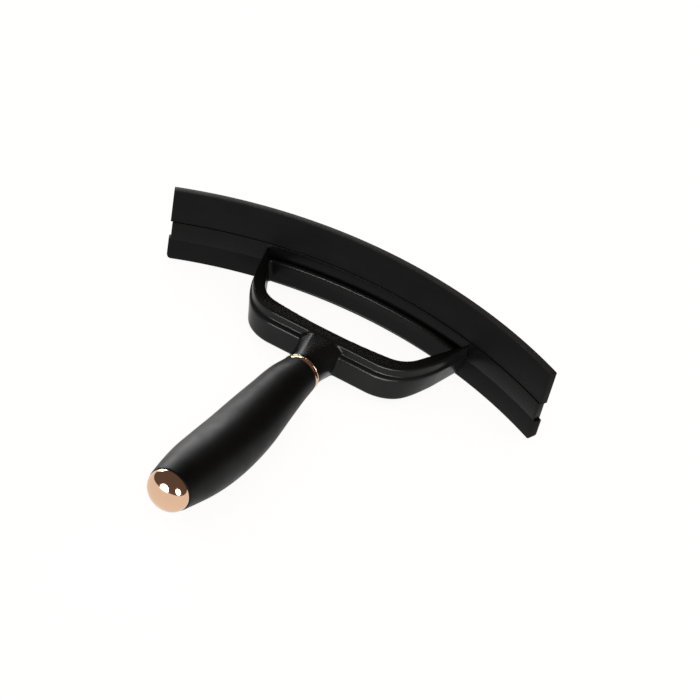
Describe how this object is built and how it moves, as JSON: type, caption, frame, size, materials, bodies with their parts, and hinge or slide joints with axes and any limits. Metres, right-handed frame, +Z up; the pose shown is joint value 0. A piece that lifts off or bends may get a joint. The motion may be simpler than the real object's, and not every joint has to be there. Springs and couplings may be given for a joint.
{
  "type": "sweat scraper",
  "caption": "Hand squeegee for sweeping water or sweat off a horse: a curved rubber blade on a D-shaped bow with a soft straight grip and plated trim.",
  "frame": {"origin": "middle of the underside of the box round the scraper as it lies on a table", "axes": "+X along the blade, +Y from the handle towards the blade, +Z up from the table"},
  "size_m": [0.2384, 0.2132, 0.048],
  "materials": {
    "frame_plastic": "satin moulded black",
    "blade_rubber": "matt black",
    "rose_plating": "polished rose gold plating",
    "soft_touch": "soft-touch charcoal",
    "core_plastic": "as moulded",
    "insert_brass": "turned",
    "zinc_steel": "zinc plated"
  },
  "bodies": {
    "root": {"head_frame": "frame_plastic", "upper_blade": "blade_rubber", "lower_blade": "blade_rubber", "collar_ring": "rose_plating", "grip_sleeve": "soft_touch", "grip_core": "core_plastic", "pommel_cap": "rose_plating", "threaded_insert": "insert_brass", "screw_washer": "zinc_steel", "handle_screw": "zinc_steel"}
  },
  "joints": []
}
